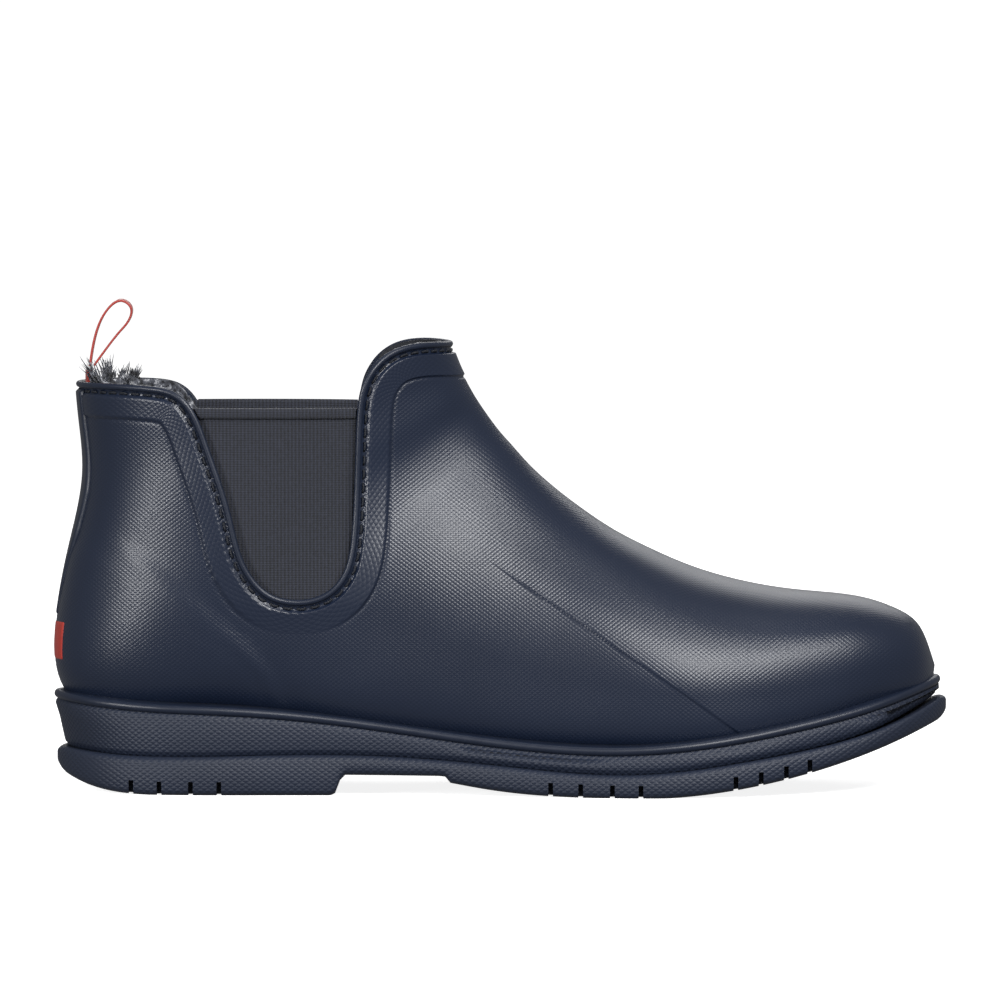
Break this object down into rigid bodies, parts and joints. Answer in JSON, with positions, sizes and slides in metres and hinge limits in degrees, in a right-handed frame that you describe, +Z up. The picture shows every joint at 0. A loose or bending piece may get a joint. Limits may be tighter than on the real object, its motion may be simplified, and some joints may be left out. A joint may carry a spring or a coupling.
{
  "type": "ankle deck boot",
  "caption": "Pull-on ankle deck boot for the right foot: moulded upper, elastic side gores, pile lining, loose footbed, folding heel pull loop and textured rubber sole.",
  "frame": {"origin": "on the ground under the middle of the boot's box", "axes": "+X towards the toe, -Y the outer side of a right foot, +Z up"},
  "size_m": [0.2846, 0.0986, 0.1561],
  "materials": {
    "upper_pvc": "satin moulded PVC with a fine diamond grain",
    "edge_pvc": "smooth satin PVC",
    "thread": "waxed polyester thread",
    "gore_webbing": "ribbed elastic webbing",
    "tape": "woven reinforcing tape",
    "counter_board": "thermoplastic counter sheet",
    "pile": "mottled knitted pile",
    "board": "pressed fibre board",
    "foam": "open cell foam",
    "core": "blown filler",
    "steel": "spring steel strip",
    "sole_rubber": "matt moulded rubber with a diamond grain",
    "ribbon": "woven satin ribbon",
    "red_tab": "moulded red PVC"
  },
  "bodies": {
    "boot": {"upper_shell": "upper_pvc", "edge_bead": "edge_pvc", "stitching_lateral": "thread", "stitching_medial": "thread", "back_stay": "edge_pvc", "heel_label": "red_tab", "gore_lateral": "gore_webbing", "gore_medial": "gore_webbing", "gore_hem_lateral": "gore_webbing", "gore_hem_medial": "gore_webbing", "collar_tape_rear": "tape", "collar_tape_front": "tape", "heel_counter": "counter_board", "pile_lining": "pile", "insole_board": "board", "sole_sidewall": "sole_rubber", "welt_bead": "sole_rubber", "midsole_core": "core", "arch_shank": "steel", "outsole": "sole_rubber", "pull_loop_tail": "ribbon"},
    "footbed": {"footbed_foam": "foam", "footbed_cover": "pile"},
    "pull_loop": {"pull_loop": "ribbon"}
  },
  "joints": [
    {"name": "footbed_lift", "type": "hinge", "parent": "boot", "child": "footbed", "pos_m": [0.126, 0, 0.029], "axis": [0, 1, 0], "range_deg": [0, 12]},
    {"name": "pull_loop_fold", "type": "hinge", "parent": "boot", "child": "pull_loop", "pos_m": [-0.13, 0, 0.1346], "axis": [0, 1, 0], "range_deg": [-60, 55], "stiffness_Nm_per_rad": 0.002}
  ]
}
